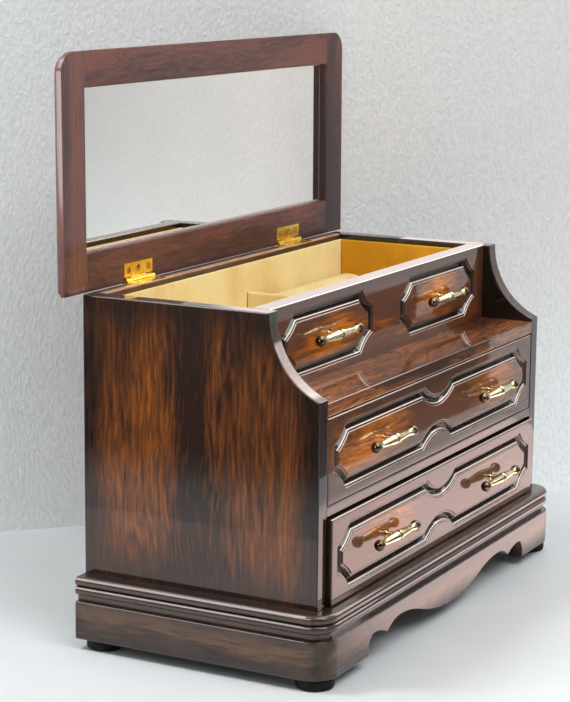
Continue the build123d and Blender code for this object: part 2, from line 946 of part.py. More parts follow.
lid_mortises = on_both_hinges(cutter, lid_hinge_planes)

opening_half_width = lid_half_width - stile_width
opening_low = lid_edge + back_rail_width
opening_high = lid_top - front_rail_width
opening_centre = (opening_low + opening_high) / 2
opening_height = opening_high - opening_low
rebate_width = 2 * (opening_half_width + mirror_rebate)
rebate_height = opening_height + 2 * mirror_rebate

with BuildPart() as lid_frame:
    with BuildSketch(inner_plane):
        add(lid_outline(0))
    extrude(amount=lid_rim)
    with BuildSketch(inner_plane.offset(lid_rim)):
        add(lid_outline(lid_quirk))
    extrude(amount=lid_round)
    fillet(lid_frame.edges().group_by(lid_level)[-1], radius=lid_round - lid_round_land)
    with BuildSketch(inner_plane.offset(lid_rim + lid_round)):
        add(lid_outline(bevel_inset))
    extrude(amount=lid_bevel_rise, taper=math.degrees(math.atan(lid_bevel_width / lid_bevel_rise)))
    with BuildSketch(inner_plane):
        with Locations((0, opening_centre)):
            Rectangle(2 * opening_half_width, opening_height)
    extrude(amount=lid_thickness, mode=Mode.SUBTRACT)
    inner_face = lid_frame.faces().sort_by(lid_level)[0]
    fillet(inner_face.inner_wires()[0].edges(), radius=opening_easing)
    with BuildSketch(inner_plane.offset(mirror_recess)):
        with Locations((0, opening_centre)):
            Rectangle(rebate_width, rebate_height)
    extrude(amount=lid_thickness - mirror_recess, mode=Mode.SUBTRACT)
    add(lid_mortises.part, mode=Mode.SUBTRACT)

save(lid_member(opening_half_width, lid_half_width, lid_edge, lid_top), "lid_left_stile")
save(lid_member(-lid_half_width, -opening_half_width, lid_edge, lid_top), "lid_right_stile")
save(lid_member(-opening_half_width, opening_half_width, opening_high, lid_top), "lid_front_rail")
save(lid_member(-opening_half_width, opening_half_width, lid_edge, opening_low), "lid_back_rail")

with BuildPart() as mirror_glass:
    with BuildSketch(inner_plane.offset(mirror_recess)):
        with Locations((0, opening_centre)):
            Rectangle(rebate_width - 2 * mirror_clearance, rebate_height - 2 * mirror_clearance)
    extrude(amount=mirror_thickness)
save(mirror_glass, "mirror")

with BuildPart() as lid_panel:
    with BuildSketch(inner_plane.offset(mirror_recess + mirror_thickness)):
        with Locations((0, opening_centre)):
            Rectangle(rebate_width, rebate_height)
    extrude(amount=lid_thickness - mirror_recess - mirror_thickness)
save(lid_panel, "lid_panel")

# ---- Hinges ---------------------------------------------------------------------

half_leaf = hinge_length / 2
lower_spans = (
    (-half_leaf, hinge_outer_knuckle - half_leaf),
    (half_leaf - hinge_outer_knuckle, half_leaf),
)
upper_reach = half_leaf - hinge_outer_knuckle - hinge_knuckle_gap
upper_spans = ((-upper_reach, upper_reach),)
lower_leaf = bored_leaf(hinge_leaf(lower_spans), lower_spans, hinge_pin_radius)
upper_leaf = bored_leaf(
    hinge_leaf(upper_spans), upper_spans, hinge_pin_radius + hinge_running_clearance
)
save(on_both_hinges(lower_leaf, hinge_planes), "hinge_lower_leaves")
save(on_both_hinges(upper_leaf, lid_hinge_planes), "hinge_upper_leaves")

with BuildPart() as pin:
    with BuildSketch(Plane.YZ.offset(-half_leaf)):
        Circle(hinge_pin_radius)
    extrude(amount=hinge_length)
save(on_both_hinges(pin, hinge_planes), "hinge_pins")

screw_row = hinge_screw_row()
save(on_both_hinges(screw_row, hinge_planes), "hinge_lower_screws")
save(on_both_hinges(screw_row, lid_hinge_planes), "hinge_upper_screws")
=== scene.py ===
"""Looks for a vanity box: a lacquered two-drawer case with a lined top and a mirror lid.

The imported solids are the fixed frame. The wooden and brass solids keep their shapes and are
dressed with finishes; the linings, the partition and the ring cushion are rebuilt as cloth.
Everything is in metres, X to the right, Y to the back, Z up.
"""

import json
import logging
import math
from dataclasses import dataclass, field
from enum import Enum
from functools import reduce

import bmesh
import bpy
import numpy as np
from mathutils import Matrix, Vector

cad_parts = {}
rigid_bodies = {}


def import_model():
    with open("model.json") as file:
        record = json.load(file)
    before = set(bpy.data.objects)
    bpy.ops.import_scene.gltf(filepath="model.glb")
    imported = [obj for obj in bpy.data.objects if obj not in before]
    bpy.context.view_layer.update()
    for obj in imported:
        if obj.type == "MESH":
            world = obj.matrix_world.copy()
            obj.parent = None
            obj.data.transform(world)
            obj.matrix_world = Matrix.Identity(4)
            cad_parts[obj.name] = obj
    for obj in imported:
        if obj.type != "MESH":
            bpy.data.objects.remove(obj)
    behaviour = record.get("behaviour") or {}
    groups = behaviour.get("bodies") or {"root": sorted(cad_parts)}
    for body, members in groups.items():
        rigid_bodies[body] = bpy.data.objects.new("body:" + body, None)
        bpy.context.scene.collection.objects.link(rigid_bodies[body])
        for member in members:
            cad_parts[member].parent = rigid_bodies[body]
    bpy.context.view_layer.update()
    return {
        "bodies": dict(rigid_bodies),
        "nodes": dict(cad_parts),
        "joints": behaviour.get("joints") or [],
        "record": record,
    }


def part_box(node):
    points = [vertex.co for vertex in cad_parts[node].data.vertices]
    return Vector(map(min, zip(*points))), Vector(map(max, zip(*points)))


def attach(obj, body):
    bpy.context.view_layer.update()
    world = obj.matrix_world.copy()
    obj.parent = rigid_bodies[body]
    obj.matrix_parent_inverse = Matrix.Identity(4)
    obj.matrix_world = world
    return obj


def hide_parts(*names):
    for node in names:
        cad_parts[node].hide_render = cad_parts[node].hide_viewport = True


log = logging.getLogger("vanity_box")

MM = 0.001
# Points nearer than this are one, and faces with shorter edges are taken out.
DOUBLE = 0.001 * MM
SLIVER = 0.0001 * MM
# Spacing of the points on a cloth-covered board, and radians per metre of its two crossed waves.
CLOTH_STEP = 4 * MM
CLOTH_WAVES = (95.0, 130.0)
Colour = tuple[float, float, float]
Place = tuple[float, float, float]
Socket = bpy.types.NodeSocket
Value = Socket | Colour | float
Corners = tuple[Vector, Vector]


def srgb(red: int, green: int, blue: int) -> Colour:
    """Turn a screen colour, each part from 0 to 255, into the linear one that shaders take."""
    return tuple(
        value / 12.92 if value <= 0.04045 else ((value + 0.055) / 1.055) ** 2.4
        for value in (red / 255, green / 255, blue / 255)
    )


def stain(*steps: tuple[int, int, int]) -> tuple[Colour, ...]:
    """Turn the deep, middle and light screen colours of a stain into linear ones."""
    return tuple(srgb(*step) for step in steps)


class Grain(Enum):
    """Direction in which the fibres of a board run."""

    ALONG_X = (0, 1, 2)
    ALONG_Y = (1, 0, 2)
    ALONG_Z = (2, 0, 1)


class Graph:
    """Small builder for the node tree of one material, with a principled shader at its end."""

    def __init__(self, name: str) -> None:
        """Start a material that has only its shader, its output and its own coordinates.

        Args:
            name: Name of the material.
        """
        self.material = bpy.data.materials.new(name)
        self.material.use_nodes = True
        self.tree = self.material.node_tree
        self.tree.nodes.clear()
        self.shader = self.node("ShaderNodeBsdfPrincipled", {})
        self.output = self.node("ShaderNodeOutputMaterial", {"Surface": self.shader.outputs["BSDF"]})
        self.place = self.node("ShaderNodeTexCoord", {}).outputs["Object"]
        self.axes = self.split(self.place)

    def node(self, kind: str, inputs: dict[str | int, Value], **settings: str | int) -> bpy.types.Node:
        """Add a node.

        Args:
            kind: Its type.
            inputs: What goes into its sockets, by their names or numbers.
            settings: Its own settings.

        Returns:
            The node.
        """
        node = self.tree.nodes.new(kind)
        for name, value in settings.items():
            setattr(node, name, value)
        for key, value in inputs.items():
            self.plug(value, node.inputs[key])
        return node

    def plug(self, value: Value, socket: Socket) -> None:
        """Link a value into a socket, or set it there when it is a constant.

        Args:
            value: A socket, a number, a vector or a colour without its alpha.
            socket: Where it goes.
        """
        if isinstance(value, bpy.types.NodeSocket):
            self.tree.links.new(value, socket)
        else:
            socket.default_value = (*value, 1.0) if socket.type == "RGBA" else value

    def set(self, **values: Value) -> None:
        """Fill shader sockets by their names, with underscores for spaces."""
        for name, value in values.items():
            self.plug(value, self.shader.inputs[name.replace("_", " ")])

    def math(self, operation: str, *values: Socket | float, clamp: bool = False) -> Socket:
        """Combine numbers by an operation, held between 0 and 1 if clamp is true."""
        inputs = dict(enumerate(values))
        return self.node("ShaderNodeMath", inputs, operation=operation, use_clamp=clamp).outputs["Value"]

    def minus(self, first: Socket | float, second: Socket | float) -> Socket:
        """Take the second number from the first."""
        return self.math("SUBTRACT", first, second)

    def times(self, first: Socket | float, second: Socket | float) -> Socket:
        """Multiply two numbers."""
        return self.math("MULTIPLY", first, second)

    def centred(self, noise: Socket, strength: float, around: float = 0.0) -> Socket:
        """Make a noise swing about another number than 0.5, more or less strongly."""
        return self.math("MULTIPLY_ADD", self.minus(noise, 0.5), strength, around)

    def nearest(self, *gaps: Socket) -> Socket:
        """Take the least of some numbers."""
        return reduce(lambda least, gap: self.math("MINIMUM", least, gap), gaps)

    def split(self, vector: Socket) -> tuple[Socket, ...]:
        """Take a vector apart into its three numbers."""
        return tuple(self.node("ShaderNodeSeparateXYZ", {0: vector}).outputs)

    def join(self, *values: Socket | float) -> Socket:
        """Put three numbers together into a vector."""
        return self.node("ShaderNodeCombineXYZ", dict(enumerate(values))).outputs[0]

    def noise(self, vector: Socket, scales: Place, detail: float = 3.0, seed: float = 0.0) -> Socket:
        """Sample a noise stretched differently along three directions.

        Args:
            vector: Where to sample, in metres.
            scales: Cycles per metre along the three directions.
            detail: Octaves of finer noise.
            seed: Shift that makes one piece differ from another.

        Returns:
            Noise from 0 to 1, about 0.5 on average.
        """
        shift = (seed, 1.7 * seed, 2.3 * seed)
        mapping = self.node("ShaderNodeMapping", {"Vector": vector, "Scale": scales, "Location": shift})
        inputs = {"Vector": mapping.outputs["Vector"], "Scale": 1.0, "Detail": detail}
        return self.node("ShaderNodeTexNoise", inputs).outputs["Fac"]

    def ramp(self, value: Socket, *stops: tuple[float, Colour]) -> Socket:
        """Turn a number into a colour.

        Args:
            value: The number.
            stops: Places from 0 to 1, each with the colour that it has there.

        Returns:
            The colour.
        """
        node = self.node("ShaderNodeValToRGB", {"Fac": value})
        elements = node.color_ramp.elements
        while len(elements) < len(stops):
            elements.new(1.0)
        for element, (position, colour) in zip(elements, stops):
            element.position = position
            element.color = (*colour, 1.0)
        return node.outputs["Color"]

    def fade(self, value: Socket, low: float, high: float) -> Socket:
        """Rise smoothly from 0 to 1 as a number goes from low to high."""
        inputs = {"Value": value, "From Min": low, "From Max": high}
        return self.node("ShaderNodeMapRange", inputs, interpolation_type="SMOOTHSTEP").outputs["Result"]

    def blend(self, share: Value, first: Value, second: Value, mode: str = "MIX") -> Socket:
        """Blend two colours in a mode, with a share of the second one."""
        inputs = {0: share, 6: first, 7: second}
        return self.node("ShaderNodeMix", inputs, data_type="RGBA", blend_type=mode).outputs[2]

    def bump(self, height: Socket, strength: float, distance: float, **base: Socket) -> Socket:
        """Turn a height into a normal.

        Args:
            height: Height from 0 to 1.
            strength: Share of the bump that is applied.
            distance: Height in metres that 1 stands for.
            base: Normal that the bump is laid over, or nothing for the face's own.

        Returns:
            The bent normal.
        """
        inputs = {"Height": height, "Strength": strength, "Distance": distance, **base}
        return self.node("ShaderNodeBump", inputs).outputs[0]

    def finish(self, colour: Value, roughness: Value) -> bpy.types.Material:
        """Connect colour and roughness and hand the material over."""
        self.set(Base_Color=colour, Roughness=roughness)
        return self.material

    def show_through(self, share: Socket) -> None:
        """Let the surface be clear wherever the share falls from 1 to 0."""
        clear = self.node("ShaderNodeBsdfTransparent", {}).outputs[0]
        choice = self.node("ShaderNodeMixShader", {0: share, 1: clear, 2: self.shader.outputs[0]})
        self.plug(choice.outputs[0], self.output.inputs["Surface"])


@dataclass(frozen=True)
class Layer:
    """One layer of a wood's figure: a noise drawn out along the fibres.

    Along and across are cycles per metre, detail is the octaves of finer noise and shift keeps
    the layer apart from the others of the same board.
    """

    along: float
    across: float
    detail: float
    shift: float = 0.0

    def lay(self, graph: Graph, place: Socket, seed: float = 0.0) -> Socket:
        """Sample the layer at places along, across and across the fibres of a numbered board."""
        return graph.noise(place, (self.along, self.across, self.across), self.detail, self.shift + seed)


# Slow drift that bends the fibres, then the layers that lie over the broad figure.
DRIFT = Layer(9.0, 26.0, 2.0, 3.1)
FLECKS = Layer(60.0, 640.0, 3.0, 1.3)
FIBRES = Layer(45.0, 1500.0, 4.0, 2.2)
DARK_LINES = Layer(11.0, 520.0, 2.0, 7.0)
PORES = Layer(180.0, 2600.0, 2.0, 5.0)
# Ragged line where the stain ends, and the grain of the bare wood beyond it.
RAGGED = Layer(120.0, 120.0, 3.0)
BARE_GRAIN = Layer(90.0, 900.0, 3.0)


@dataclass(frozen=True)
class LacqueredWood:
    """Stained hardwood under clear lacquer, darkened towards the edges of its board.

    The figure is a broad noise drawn out along the grain, bent by a slower one. Flecks, dark
    lines, fibres and pores lie over it, and a toner darkens the outer band of the board's face.
    The stain goes from its deep through its middle to its light colour.
    """

    name: str
    grain: Grain
    stain: tuple[Colour, ...]
    seed: float
    tone_box: Corners | None = None
    tone_axes: tuple[int, int] = (0, 2)
    tone_width: float = 18 * MM
    tone: float = 0.6
    groove_y: float | None = None
    # Painted shade: below the face at groove_y the routed groove darkens towards near black.
    groove_shade_fall: tuple[float, float] = (0.25 * MM, 0.9 * MM)
    groove_painted_shade: Colour = srgb(24, 13, 9)
    # Painted highlight: a pale line on the groove walls that look upwards, just below the face.
    highlight_rise: tuple[float, float] = (0.1 * MM, 0.3 * MM)
    highlight_fall: tuple[float, float] = (0.8 * MM, 1.3 * MM)
    highlight_tint: Colour = srgb(255, 240, 226)
    raw_edge: tuple[float, float] | None = None
    # Painted shade: the face at this distance from the middle in X, the inner face of a side panel, is near
    # black.
    painted_shade_inside: float | None = None
    gloss: float = 1.0
    coat_roughness: float = 0.03
    specular: float = 0.3
    figure_scale: float = 34.0
    figure_length: float = 3.5
    warp: float = 0.03
    contrast: float = 1.9
    fleck: float = 0.9
    lines: float = 0.5
    pores: float = 0.45
    arris: float = 0.6 * MM
    patches: tuple[tuple[float, float], ...] = ()
    patch_axes: tuple[int, int] = (0, 2)
    patch_reach: tuple[float, float] = (34 * MM, 20 * MM)
    patch_depth: float = 0.30

    def build(self) -> bpy.types.Material:
        """Make the material.

        Returns:
            A finished wood material on object coordinates.
        """
        graph = Graph(self.name)
        along, across, other = (graph.axes[index] for index in self.grain.value)
        drift = DRIFT.lay(graph, graph.join(along, across, other), self.seed)
        bent = graph.centred(drift, self.warp)
        place = graph.join(along, graph.math("ADD", across, bent), graph.math("ADD", other, bent))
        fibres = FIBRES.lay(graph, place, self.seed)
        colour = self._stained(graph, drift, place, fibres)
        if self.tone_box is not None:
            toner = tuple(0.4 * part for part in self.stain[0])
            share = graph.times(self._edge(graph, drift), self.tone)
            colour = graph.blend(share, colour, toner)
        if self.groove_y is not None:
            # Painted shade darkens the routed groove below the face.
            depth = graph.minus(graph.axes[1], self.groove_y)
            dark = graph.times(graph.fade(depth, *self.groove_shade_fall), 0.93)
            # Painted highlight along the groove walls that look upwards.
            colour = self._painted_highlight_line(graph, depth, graph.blend(dark, colour, self.groove_painted_shade))
        if self.raw_edge is not None:
            colour = self._bare_edge(graph, colour)
        # Painted shade on the inner face of a side panel.
        if self.painted_shade_inside is not None:
            depth = graph.minus(graph.math("ABSOLUTE", graph.axes[0]), self.painted_shade_inside)
            colour = graph.blend(graph.fade(depth, 0.2 * MM, 0.8 * MM), srgb(22, 13, 10), colour)
        orange_peel = graph.noise(graph.place, (210.0, 210.0, 210.0), 1.0, self.seed)
        rubbed = graph.node("ShaderNodeBevel", {"Radius": self.arris}, samples=6).outputs[0]
        graph.set(
            Coat_Weight=self.gloss, Coat_Roughness=self.coat_roughness, Coat_IOR=1.5,
            Coat_Normal=graph.bump(orange_peel, 0.05, 0.15 * MM, Normal=rubbed),
            Normal=graph.bump(fibres, 0.05, 0.2 * MM), Specular_IOR_Level=self.specular,
        )
        return graph.finish(colour, graph.math("MULTIPLY_ADD", fibres, 0.15, 0.38))

    def _stained(self, graph: Graph, drift: Socket, place: Socket, fibres: Socket) -> Socket:
        """Lay the figure, its flecks, lines, fibres and pores over one another.

        Args:
            graph: Node tree in the making.
            drift: Slow noise of the board.
            place: Places along and across the bent fibres.
            fibres: Noise of the fibres.

        Returns:
            The colour of the stained face.
        """
        deep, middle, light = self.stain
        figure = Layer(self.figure_length, self.figure_scale, 3.0).lay(graph, place, self.seed)
        flecks = FLECKS.lay(graph, place, self.seed)
        value = graph.math(
            "ADD", graph.centred(figure, self.contrast, 0.5), graph.centred(flecks, self.fleck),
            clamp=True,
        )
        if self.patches:
            outside = graph.times(self._outside(graph, drift), self.patch_depth)
            value = graph.minus(value, outside)
        colour = graph.ramp(value, (0.24, deep), (0.50, middle), (0.74, light))
        shade = graph.centred(fibres, 1.2, 1.0)
        colour = graph.blend(1.0, colour, graph.join(shade, shade, shade), "MULTIPLY")
        lines = graph.fade(DARK_LINES.lay(graph, place, self.seed), 0.53, 0.66)
        pores = graph.fade(PORES.lay(graph, place, self.seed), 0.60, 0.72)
        for dark, share in ((lines, self.lines), (pores, self.pores)):
            colour = graph.blend(graph.times(dark, share), colour, deep)
        return colour

    def _painted_highlight_line(self, graph: Graph, depth: Socket, stained: Socket) -> Socket:
        """Paint a pale highlight on the top of the walls that look upwards in the grooves.

        Args:
            graph: Node tree in the making.
            depth: Depth below the face.
            stained: Colour of the stained wood.

        Returns:
            The stained colour with the painted highlight line laid over it.
        """
        upward = graph.split(graph.node("ShaderNodeTexCoord", {}).outputs["Normal"])[2]
        shallow = graph.minus(graph.fade(depth, *self.highlight_rise), graph.fade(depth, *self.highlight_fall))
        share = graph.times(shallow, graph.fade(upward, 0.25, 0.55))
        return graph.blend(share, stained, self.highlight_tint)

    def _outside(self, graph: Graph, drift: Socket) -> Socket:
        """Measure how far a point is from the bright patches of the figure.

        Args:
            graph: Node tree in the making.
            drift: Slow noise that makes the patches uneven.

        Returns:
            0 in a patch, rising to 1 outside all of them.
        """
        gaps = []
        for middle in self.patches:
            gap: Value = 0.0
            for axis, place, reach in zip(self.patch_axes, middle, self.patch_reach):
                offset = graph.math("DIVIDE", graph.minus(graph.axes[axis], place), reach)
                gap = graph.math("MULTIPLY_ADD", offset, offset, gap)
            gaps.append(gap)
        return graph.fade(graph.math("MULTIPLY_ADD", drift, 1.2, graph.nearest(*gaps)), 0.7, 2.0)

    def _bare_edge(self, graph: Graph, stained: Socket) -> Socket:
        """Leave the wood bare above a level and in front of a ragged line.

        Args:
            graph: Node tree in the making.
            stained: Colour of the stained wood.

        Returns:
            The stained colour with the bare strip laid over it.
        """
        line_y, level = self.raw_edge
        above = graph.fade(graph.axes[2], level - 0.9 * MM, level - 0.2 * MM)
        edge = graph.math("MULTIPLY_ADD", RAGGED.lay(graph, graph.place), 1.2 * MM, graph.axes[1])
        in_front = graph.minus(1.0, graph.fade(edge, line_y, line_y + 0.6 * MM))
        grain = BARE_GRAIN.lay(graph, graph.place)
        pale = graph.ramp(grain, (0.35, srgb(176, 128, 98)), (0.65, srgb(228, 190, 162)))
        return graph.blend(graph.times(above, in_front), stained, pale)

    def _edge(self, graph: Graph, drift: Socket) -> Socket:
        """Measure how near a point is to the rim of the board's face.

        Args:
            graph: Node tree in the making.
            drift: Slow noise that makes the toned band uneven.

        Returns:
            1 on the rim, falling to 0 inside the toned band.
        """
        low, high = self.tone_box
        gaps = []
        for axis in self.tone_axes:
            gaps.append(graph.minus(graph.axes[axis], low[axis]))
            gaps.append(graph.minus(high[axis], graph.axes[axis]))
        wavy = graph.math("MULTIPLY_ADD", drift, -0.9 * self.tone_width, graph.nearest(*gaps))
        return graph.minus(1.0, graph.fade(wavy, -0.45 * self.tone_width, 0.8 * self.tone_width))


@dataclass(frozen=True)
class BareWood:
    """Pale unfinished wood or ply, with fine straight fibres."""

    name: str
    grain: Grain
    pale: Colour = srgb(196, 158, 118)
    dark: Colour = srgb(150, 108, 74)

    def build(self) -> bpy.types.Material:
        """Make the material."""
        graph = Graph(self.name)
        place = graph.join(*(graph.axes[index] for index in self.grain.value))
        figure = Layer(8.0, 160.0, 4.0).lay(graph, place)
        fibres = Layer(60.0, 1600.0, 3.0).lay(graph, place)
        mixed = graph.math("MULTIPLY_ADD", fibres, 0.5, graph.times(figure, 0.5))
        colour = graph.ramp(mixed, (0.36, self.dark), (0.62, self.pale))
        graph.set(Normal=graph.bump(fibres, 0.3, 0.2 * MM))
        return graph.finish(colour, 0.72)


@dataclass(frozen=True)
class Brass:
    """Polished brass with faint turning or rolling marks and a little tarnish.

    On the pulls, the middles are where each bar has its waist, and painted dark reflections lie on their
    knobs and in their waists.
    """

    name: str
    bright: Colour
    tarnish: Colour
    roughness: float
    middles: tuple[float, ...] = ()
    # Reaches of the painted dark reflections in the waist and on the knobs.
    waist: tuple[float, float] = (0.5 * MM, 1.1 * MM)
    knob: tuple[float, float] = (16.5 * MM, 18.0 * MM)

    def build(self) -> bpy.types.Material:
        """Make the material."""
        graph = Graph(self.name)
        cloud = graph.noise(graph.place, (260.0, 260.0, 260.0), 4.0)
        marks = graph.noise(graph.place, (3200.0, 300.0, 300.0), 2.0)
        colour = graph.ramp(cloud, (0.40, self.tarnish), (0.56, self.bright))
        if self.middles:
            colour = self._painted_dark_reflections(graph, colour)
        graph.set(Metallic=1.0, Normal=graph.bump(marks, 0.06, 0.05 * MM))
        return graph.finish(colour, graph.math("MULTIPLY_ADD", cloud, 0.12, self.roughness))

    def _painted_dark_reflections(self, graph: Graph, polished: Socket) -> Socket:
        """Paint dark reflections on the knobs at the ends of the pulls and in their waists.

        Args:
            graph: Node tree in the making.
            polished: Colour of the polished bar.

        Returns:
            The polished colour, nearly black at the ends and in the waist of each pull.
        """
        offsets = (graph.minus(graph.axes[0], middle) for middle in self.middles)
        gap = graph.nearest(*(graph.math("ABSOLUTE", offset) for offset in offsets))
        in_waist = graph.minus(1.0, graph.fade(gap, *self.waist))
        # Painted reflection: near black on the knobs and in the waist.
        dark = graph.times(graph.math("MAXIMUM", graph.fade(gap, *self.knob), in_waist), 0.88)
        return graph.blend(dark, polished, srgb(58, 44, 30))


@dataclass(frozen=True)
class Velvet:
    """Short flocked pile: brushed patches of lighter and deeper gold, with a pale sheen."""

    name: str
    light: Colour
    deep: Colour

    def build(self) -> bpy.types.Material:
        """Make the material."""
        graph = Graph(self.name)
        brushed = graph.noise(graph.place, (38.0, 38.0, 26.0), 4.0, 0.7)
        pile = graph.noise(graph.place, (2600.0, 2600.0, 2600.0), 2.0)
        mixed = graph.math("MULTIPLY_ADD", graph.minus(pile, 0.5), 0.5, brushed)
        colour = graph.ramp(mixed, (0.28, self.deep), (0.60, self.light))
        graph.set(
            Sheen_Weight=0.6, Sheen_Roughness=0.45, Sheen_Tint=srgb(255, 240, 200),
            Specular_IOR_Level=0.1, Normal=graph.bump(pile, 0.5, 0.25 * MM),
        )
        return graph.finish(colour, 0.95)


@dataclass(frozen=True)
class MirrorGlass:
    """Silvered glass, shown as its front reflection, with handling haze and a pale painted highlight along
    its rim.
    """

    name: str
    opening: Corners
    rim: float = 0.8 * MM

    def build(self) -> bpy.types.Material:
        """Make the material."""
        graph = Graph(self.name)
        haze = graph.noise(graph.place, (30.0, 30.0, 30.0), 5.0)
        graph.set(Metallic=1.0)
        colour = graph.ramp(haze, (0.3, srgb(250, 248, 243)), (0.7, srgb(254, 252, 247)))
        along, _, up = graph.axes
        low, high = self.opening
        gap = graph.nearest(
            graph.minus(along, low.x), graph.minus(high.x, along), graph.minus(up, low.z),
            graph.minus(high.z, up),
        )
        # Painted highlight: the rim of the glass is white and rough.
        clear = graph.fade(gap, 0.75 * self.rim, self.rim)
        colour = graph.blend(clear, srgb(255, 255, 252), colour)
        return graph.finish(colour, graph.times(graph.minus(1.0, clear), 0.5))


@dataclass(frozen=True)
class Steel:
    """Plain zinc-grey screw steel."""

    name: str

    def build(self) -> bpy.types.Material:
        """Make the material."""
        graph = Graph(self.name)
        cloud = graph.noise(graph.place, (500.0, 500.0, 500.0), 3.0)
        graph.set(Metallic=1.0)
        colour = graph.ramp(cloud, (0.35, srgb(150, 150, 148)), (0.65, srgb(196, 196, 192)))
        return graph.finish(colour, 0.32)


@dataclass(frozen=True)
class FootPad:
    """Black moulded pad, matt and a little dusty."""

    name: str

    def build(self) -> bpy.types.Material:
        """Make the material."""
        graph = Graph(self.name)
        dust = graph.noise(graph.place, (320.0, 320.0, 320.0), 4.0)
        colour = graph.ramp(dust, (0.45, srgb(13, 12, 11)), (0.75, srgb(34, 31, 28)))
        graph.set(Specular_IOR_Level=0.15, Normal=graph.bump(dust, 0.2, 0.1 * MM))
        return graph.finish(colour, 0.6)


def dress(frame: dict, node: str, material: bpy.types.Material) -> None:
    """Give a carried-over solid its finish.

    Args:
        frame: The loaded frame.
        node: Name of the solid.
        material: Its finish.
    """
    mesh = frame["nodes"][node].data
    mesh.materials.clear()
    mesh.materials.append(material)
    log.info("dressed %s with %s", node, material.name)


def make_object(
    name: str, points: np.ndarray, faces: np.ndarray, material: bpy.types.Material
) -> bpy.types.Object:
    """Put a grid of quads into a mesh object at the origin, with its doubles merged.

    Args:
        name: Name of the piece.
        points: Vertices, one row each, in metres.
        faces: Four vertex numbers per face.
        material: Finish of the piece.

    Returns:
        The linked object.
    """
    mesh = bpy.data.meshes.new(name)
    mesh.from_pydata(points.tolist(), [], faces.tolist())
    work = bmesh.new()
    work.from_mesh(mesh)
    bmesh.ops.remove_doubles(work, verts=work.verts, dist=DOUBLE)
    bmesh.ops.dissolve_degenerate(work, edges=work.edges, dist=SLIVER)
    bmesh.ops.recalc_face_normals(work, faces=work.faces)
    work.to_mesh(mesh)
    work.free()
    mesh.materials.append(material)
    mesh.shade_smooth()
    piece = bpy.data.objects.new(name, mesh)
    bpy.context.scene.collection.objects.link(piece)
    return piece


def grid_faces(rows: int, columns: int, start: int = 0) -> np.ndarray:
    """Number the quads of a grid of vertices row after row, four vertex numbers per quad."""
    corner = start + (np.arange(rows - 1)[:, None] * columns + np.arange(columns - 1)[None, :]).ravel()
    return np.stack([corner, corner + 1, corner + columns + 1, corner + columns], axis=1)


def eased_steps(length: float, rim: float, count: int) -> np.ndarray:
    """Places along an edge, close together within the rim at both ends and even between.

    Args:
        length: Length of the edge.
        rim: Length of each dense end.
        count: Steps in the middle stretch.

    Returns:
        Rising places from 0 to the length.
    """
    turn = np.linspace(0.0, math.pi / 2, 7)
    end = rim * (1.0 - np.cos(turn))
    middle = np.linspace(rim, length - rim, count)
    return np.unique(np.concatenate([end, middle, length - end]).round(7))


def pillow_board(
    low: Vector, high: Vector, rim: float, swell: float, ripple: float
) -> tuple[np.ndarray, np.ndarray]:
    """Work out a cloth-covered board: flat with soft rims and a slight swell.

    Both faces are grids over the board's two long directions. The half thickness at a point is
    the full half thickness times a quarter circle of the distance to the nearest rim, plus a
    swell of one sine half-wave each way and a ripple of two crossed sines, both inwards only.

    Args:
        low: Lowest corner of the board's space.
        high: Highest corner of the board's space.
        rim: Radius of the rounded rim.
        swell: Depth by which the middle stands above the rim.
        ripple: Depth of the unevenness.

    Returns:
        Vertices and quads of the closed board.
    """
    size = np.array(high) - np.array(low)
    thin = int(np.argmin(size))
    first, second = (axis for axis in range(3) if axis != thin)
    steps = [eased_steps(length, rim, max(6, int(length / CLOTH_STEP))) for length in size[[first, second]]]
    a, b = np.meshgrid(*steps, indexing="ij")
    nearest = np.minimum(np.minimum(a, size[first] - a), np.minimum(b, size[second] - b))
    rounding = np.sqrt(np.clip(1.0 - (1.0 - np.clip(nearest / rim, 0.0, 1.0)) ** 2, 0.0, 1.0))
    crown = np.sin(np.pi * a / size[first]) * np.sin(np.pi * b / size[second])
    waves = np.sin(a * CLOTH_WAVES[0] + 1.3) * np.sin(b * CLOTH_WAVES[1] + 0.4)
    half = size[thin] / 2
    height = half * rounding - (swell * (1.0 - crown) + ripple * (1.0 + waves)) * rounding
    sides = []
    for sign in (-1.0, 1.0):
        points = np.zeros((a.size, 3))
        points[:, first] = low[first] + a.ravel()
        points[:, second] = low[second] + b.ravel()
        points[:, thin] = low[thin] + half + sign * height.ravel()
        sides.append(points)
    faces = np.vstack([grid_faces(*a.shape), grid_faces(*a.shape, start=a.size)[:, ::-1]])
    return np.vstack(sides), faces


def settle(piece: bpy.types.Object, node: str, body: str) -> None:
    """Put a velvet piece in the place of its solid.

    Args:
        piece: The piece.
        node: Name of the solid.
        body: Name of the body that carries it.
    """
    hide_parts(node)
    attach(piece, body)
    log.info("built %s for %s", piece.name, node)


def pull_middles(node: str, half_length: float = 22.6 * MM) -> tuple[tuple[float, float], ...]:
    """Find the middles of a front's two pulls.

    Args:
        node: Name of the solids of both pulls.
        half_length: Half the length of a pull.

    Returns:
        X and Z of each middle.
    """
    low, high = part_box(node)
    level = 0.5 * (low.z + high.z)
    return ((low.x + half_length, level), (high.x - half_length, level))


def pull_brass(node: str) -> bpy.types.Material:
    """Make the finish of one front's two pulls: pale brass with painted dark reflections on the knobs."""
    middles = tuple(place[0] for place in pull_middles(node))
    return Brass(f"{node}_brass", srgb(232, 222, 184), srgb(206, 186, 132), 0.05, middles).build()


